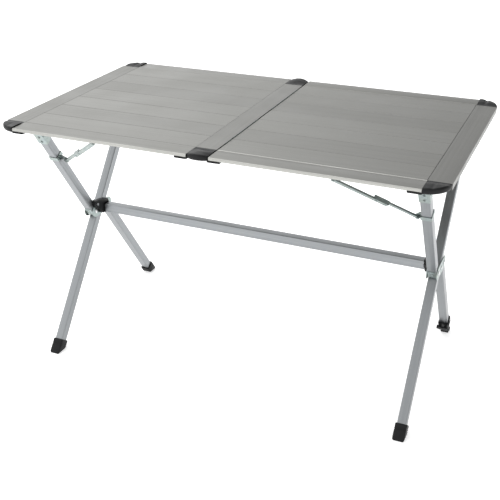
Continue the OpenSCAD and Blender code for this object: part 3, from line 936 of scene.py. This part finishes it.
def boot_mesh(bm, at, along, half, leg_half):
    """A rubber boot: bevelled level sole, two grip grooves, a rolled top rim and a pocket for the leg."""
    sole = ((0.0018, 0.003, 0.0), (0.0002, BOOT_CORNER, 0.0022), (0.0, BOOT_CORNER, 0.0045))
    rings = []
    for inset, corner, height in sole:
        rings.append(boot_ring(bm, at, along, half - inset, corner, height=cad_low.z + height))
    outside = []
    for groove in BOOT_GROOVES:
        outside += [(0.0, groove), (BOOT_GROOVE_DEPTH, groove + 0.0006)]
        outside += [(BOOT_GROOVE_DEPTH, groove + 0.0016), (0.0, groove + 0.0022)]
    outside += [(0.0, BOOT_L - 0.0030), (0.0005, BOOT_L - 0.0010), (0.0016, BOOT_L)]
    for inset, travel in outside:
        rings.append(boot_ring(bm, at, along, half - inset, BOOT_CORNER, travel=travel))
    for travel in (BOOT_L - 0.0004, BOOT_POCKET_FLOOR):
        pocket_half = leg_half + BOOT_POCKET_GAP
        rings.append(boot_ring(bm, at, along, pocket_half, BOOT_POCKET_CORNER, travel=travel))
    loft(bm, rings, closed_ends=True)


def make_boots():
    """The two front boots as one piece, and the rear left one. The rear right leg has the levelling foot."""
    leg_low, leg_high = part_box("front_upper_leg_right")
    leg_half = (leg_high.x - leg_low.x) / 2
    boot_low, boot_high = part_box("boot_rear_left")
    half = (boot_high.x - boot_low.x) / 2
    for node, body, legs in (
        ("boots_front", "frame", ("through_leg_left", "through_leg_right")),
        ("boot_rear_left", "rear_leg_left", ("rear_lower_leg_left",)),
    ):
        bm = bmesh.new()
        for leg in legs:
            at, along = leg_line(leg)
            foot = at - along * (at.z / along.z)
            boot_mesh(bm, foot, along, half, leg_half)
        piece = shaped_piece(node + "_rubber", bm, SHARP_OTHER, "plastic", body)
        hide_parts(node)


# ---------- small fixings ----------

def dome(bm, centre, out, size):
    """A low domed rivet head, of a radius and height, that stands on a surface and points along out."""
    radius, height = size
    turn = out.to_track_quat("Z", "Y").to_matrix()
    rings = []
    for share, level in ((1.0, None), (1.0, 0.35), (0.86, 0.72), (0.55, 0.95), (0.15, 1.0)):
        z = -0.0002 if level is None else level * height
        ring = []
        for step in range(20):
            angle = 2 * math.pi * step / 20
            x = radius * share * math.cos(angle)
            y = radius * share * math.sin(angle)
            ring.append(bm.verts.new(centre + turn @ Vector((x, y, z))))
        rings.append(ring)
    loft(bm, rings, closed_ends=True)


def make_ledge_rivets():
    """Rivets under the rail ledges, one for each slat end."""
    down = Vector((0, 0, -1))
    left_rails = (("rail_left", 1), ("rail_center", -1))
    right_rails = (("rail_right", -1),)
    for side, rails in (("left", left_rails), ("right", right_rails)):
        bm = bmesh.new()
        for rail, way in rails:
            low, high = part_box(rail)
            x = high.x - LEDGE_RIVET_INSET if way > 0 else low.x + LEDGE_RIVET_INSET
            for number in SLATS:
                slat_low, slat_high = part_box(f"slat_left_{number}")
                dome(bm, Vector((x, (slat_low.y + slat_high.y) / 2, low.z)), down, LEDGE_RIVET)
        shaped_piece(f"ledge_rivets_{side}", bm, SHARP_OTHER, "steel", f"top_{side}_half")


def make_end_strap(side, at, along, front, half):
    """A pressed strap over the end of a front upper leg, at the hub, with two rivets."""
    drop = (at.z - joint_place(f"front_leg_fold_{side}").z) / along.z + LEG_BUTT
    butt = at - along * drop
    outer = half + STRAP_THICK
    skin = half + 0.0001
    section = (
        (outer, STRAP_L), (skin, STRAP_L), (skin, 0.0002), (STRAP_LIP_INNER, 0.0002),
        (STRAP_LIP_INNER, -STRAP_LIP), (half, -STRAP_LIP), (outer, 0.0),
    )
    bm = bmesh.new()
    rings = []
    for x in (STRAP_INSET - half, half - STRAP_INSET):
        corner = butt + X_AXIS * x
        rings.append([bm.verts.new(corner + front * out + along * up) for out, up in section])
    loft(bm, rings, closed_ends=True)
    for up in STRAP_RIVET_PLACES:
        dome(bm, butt + along * up + front * outer, front, STRAP_RIVET)
    shaped_piece(f"leg_end_{side}", bm, SHARP_OTHER, "zinc", f"front_leg_{side}")


def make_head_rivets(side, at, along, front, half):
    """Two dark rivets on the front of a front upper leg's head."""
    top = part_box(f"leg_head_{side}")[1].z
    bm = bmesh.new()
    for drop in HEAD_RIVET_DROPS:
        centre = at - along * ((at.z - top + drop) / along.z)
        dome(bm, centre + front * (half + HEAD_PLATE), front, HEAD_RIVET)
    shaped_piece(f"leg_head_rivets_{side}", bm, SHARP_OTHER, "hinge", f"front_leg_{side}")


def make_leg_fixings():
    """The strap and the head rivets of each front upper leg."""
    for side in SIDES:
        node = f"front_upper_leg_{side}"
        at, along = leg_line(node)
        low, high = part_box(node)
        half = (high.x - low.x) / 2
        front = Vector((0, -along.z, along.y))
        make_end_strap(side, at, along, front, half)
        make_head_rivets(side, at, along, front, half)


make_camera()
make_floor()
make_light()
finish_nodes()
make_leg_tubes()
make_crossbar()
make_edges()
for cap_end in ENDS:
    make_center_cap(cap_end)
    for cap_side in SIDES:
        make_corner_cap(cap_end, cap_side)
make_boots()
make_ledge_rivets()
make_leg_fixings()
